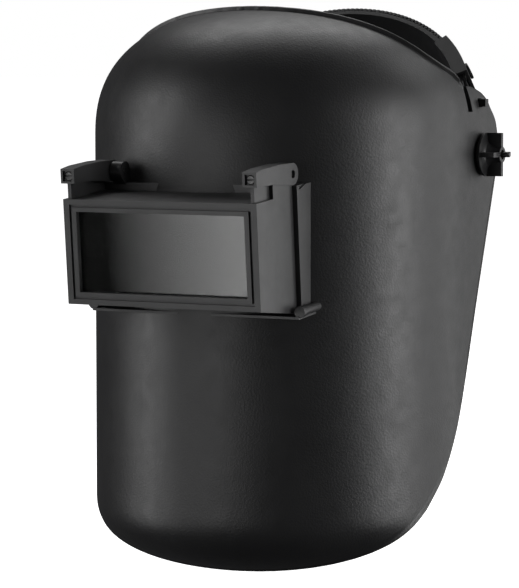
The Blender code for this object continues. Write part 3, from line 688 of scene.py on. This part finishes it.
def inflate(obj):
    """Blows a pad up as cloth for a few frames, with a limit on how far a point may move."""
    remesh = obj.modifiers.new("even", "REMESH")
    remesh.mode = "VOXEL"
    remesh.voxel_size = 2.4 * MM
    apply_all(obj)
    before = [vertex.co.copy() for vertex in obj.data.vertices]
    cloth = obj.modifiers.new("cloth", "CLOTH")
    cloth.settings.quality = 6
    cloth.settings.mass = 0.3
    cloth.settings.use_pressure = True
    cloth.settings.uniform_pressure_force = 4
    cloth.settings.effector_weights.gravity = 0
    cloth.collision_settings.use_collision = False
    scene = bpy.context.scene
    for number in range(1, 21):
        scene.frame_set(number)
    apply_all(obj)
    scene.frame_set(1)
    limit = 0.9 * MM
    for vertex, start in zip(obj.data.vertices, before):
        move = vertex.co - start
        if move.length > limit:
            vertex.co = start + move * (limit / move.length)


# ---------------------------------------------------------------- build the object


def make_pieces():
    make_shell()
    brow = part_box("brow_pad")
    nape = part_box("nape_pad")
    inset = 0.6 * MM
    make_pad("brow_pad", 61, -7.0 * MM, -2.6 * MM, brow[0].z + inset, brow[1].z - inset)
    make_pad("nape_pad", 29.3, -10.4 * MM, -5.8 * MM, nape[0].z + inset, nape[1].z - inset, 180.0, 9.8)
    make_strap("crown_strap_right", 81.5, -14, -2.6 * MM, 0, None, (PEG_TURN,))
    holes = range(PEG_TURN - 48, PEG_TURN + 7, 6)
    make_strap("crown_strap_left", -81.5, 64, GAP, GAP + 1.8 * MM, (-66, 60), holes)
    rounded = {
        "front_housing": 0.7, "base_frame": 0.5, "wing_knob_left": 0.4, "wing_knob_right": 0.4,
        "ratchet_knob": 0.8, "ratchet_housing": 0.8, "crown_buckle": 0.7, "side_bracket_left": 0.5,
        "side_bracket_right": 0.5, "crown_peg": 0.5, "front_cover_plate": 0, "filter_plate": 0,
        "inner_cover_plate": 0, "headband": 0.3, "rear_band_left": 0.3, "rear_band_right": 0.3,
    }
    done = {"shell", "brow_pad", "nape_pad", "crown_strap_left", "crown_strap_right"}
    for node in sorted(set(frame["nodes"]) - done):
        dress(node, rounded.get(node, 0.2) * MM)


# ---------------------------------------------------------------- studio

LENS = 176.1
CAMERA_PLACE = (0.7649, -1.5011, 0.0494)
CAMERA_DIP = 4.513
CAMERA_TURN = 28
# The way in which the window mirrors the camera.
MIRROR_WAY = Vector((-0.469, -0.856, -0.234))
CARD_DISTANCE = 0.55
CARD_HALF = (0.3, 0.2)
LIT_POINT = (0, -0.05, -0.06)
# Name, place, (width, height) and power of each light.
SOFTBOXES = (
    ("left_softbox", (-1.75, -1.15, 0.1), (0.9, 2.2), 27),
    ("right_softbox", (2.1, 0.1, 0.0), (1.0, 1.4), 32),
    ("side_softbox", (1.5, 1.55, 0.0), (1.3, 1.8), 14),
    ("rear_softbox", (1.1, 1.3, 1.5), (1.0, 0.8), 7),
    ("top_softbox", (-0.4, 0.75, 1.4), (1.4, 0.6), 11),
    ("front_fill", (-0.9, -2.0, -0.2), (1.0, 0.8), 8),
)


def look_at(obj, target):
    obj.rotation_euler = (Vector(target) - obj.location).to_track_quat("-Z", "Y").to_euler()


def soft_light(name, place, size, power):
    light = bpy.data.lights.new(name, "AREA")
    light.shape = "RECTANGLE"
    light.size, light.size_y = size
    light.energy = power
    made = bpy.data.objects.new(name, light)
    bpy.context.scene.collection.objects.link(made)
    made.location = place
    look_at(made, LIT_POINT)


def make_camera():
    camera = bpy.data.cameras.new("camera")
    camera.lens = LENS
    camera.clip_end = 300
    made = bpy.data.objects.new("camera", camera)
    bpy.context.scene.collection.objects.link(made)
    made.location = CAMERA_PLACE
    made.rotation_euler = (math.radians(90 - CAMERA_DIP), 0, math.radians(CAMERA_TURN))
    bpy.context.scene.camera = made


def make_floor():
    low = SHELL_LOW.z - 1.2 * MM
    reach = 60
    corners = [(-reach, -reach, low), (reach, -reach, low), (reach, reach, low), (-reach, reach, low)]
    made = mesh_object("floor", corners, [(0, 1, 2, 3)])
    shade = Shader("floor_paper")
    shade.set(Base_Color=shade.ramp(shade.noise(3, 2), 0.86, 0.9), Roughness=0.9)
    shade.set(Emission_Color=(1, 1, 1, 1), Emission_Strength=1.1)
    shade.set(Normal=shade.bump(shade.noise(300), 0.05, MM))
    paint(made, shade.material)
    made.visible_glossy = False
    made.visible_diffuse = False


def make_card():
    """A graded reflector in front of the window that the polished filter mirrors."""
    half_x, half_z = CARD_HALF
    corners = [(-half_x, 0, -half_z), (half_x, 0, -half_z), (half_x, 0, half_z), (-half_x, 0, half_z)]
    made = mesh_object("reflector_card", corners, [(0, 1, 2, 3)])
    made.location = FACE_CENTRE + MIRROR_WAY * CARD_DISTANCE
    made.rotation_euler = (0, 0, math.atan2(MIRROR_WAY.x, -MIRROR_WAY.y))
    shade = Shader("reflector_card")
    split = shade.tree.nodes.new("ShaderNodeSeparateXYZ")
    shade.link(shade.coords.outputs["Generated"], split.inputs["Vector"])
    shade.set(Base_Color=(0, 0, 0, 1), Roughness=1.0)
    shade.set(Emission_Color=shade.ramp(split.outputs["X"], 0.01, 1.0, 0.4, 0.555), Emission_Strength=1.7)
    paint(made, shade.material)
    made.visible_camera = False
    made.visible_diffuse = False
    made.visible_shadow = False


def make_world():
    world = bpy.data.worlds.new("studio")
    world.use_nodes = True
    tree = world.node_tree
    back = tree.nodes["Background"]
    back.inputs["Color"].default_value = (0.05, 0.05, 0.052, 1)
    seen = tree.nodes.new("ShaderNodeBackground")
    seen.inputs["Color"].default_value = (1, 1, 1, 1)
    seen.inputs["Strength"].default_value = 1.0
    path = tree.nodes.new("ShaderNodeLightPath")
    mix = tree.nodes.new("ShaderNodeMixShader")
    tree.links.new(path.outputs["Is Camera Ray"], mix.inputs[0])
    tree.links.new(back.outputs[0], mix.inputs[1])
    tree.links.new(seen.outputs[0], mix.inputs[2])
    tree.links.new(mix.outputs[0], tree.nodes["World Output"].inputs[0])
    bpy.context.scene.world = world


def make_studio():
    make_camera()
    make_world()
    make_floor()
    make_card()
    for light in SOFTBOXES:
        soft_light(*light)
    bpy.context.scene.view_settings.view_transform = "Standard"


make_studio()
make_pieces()
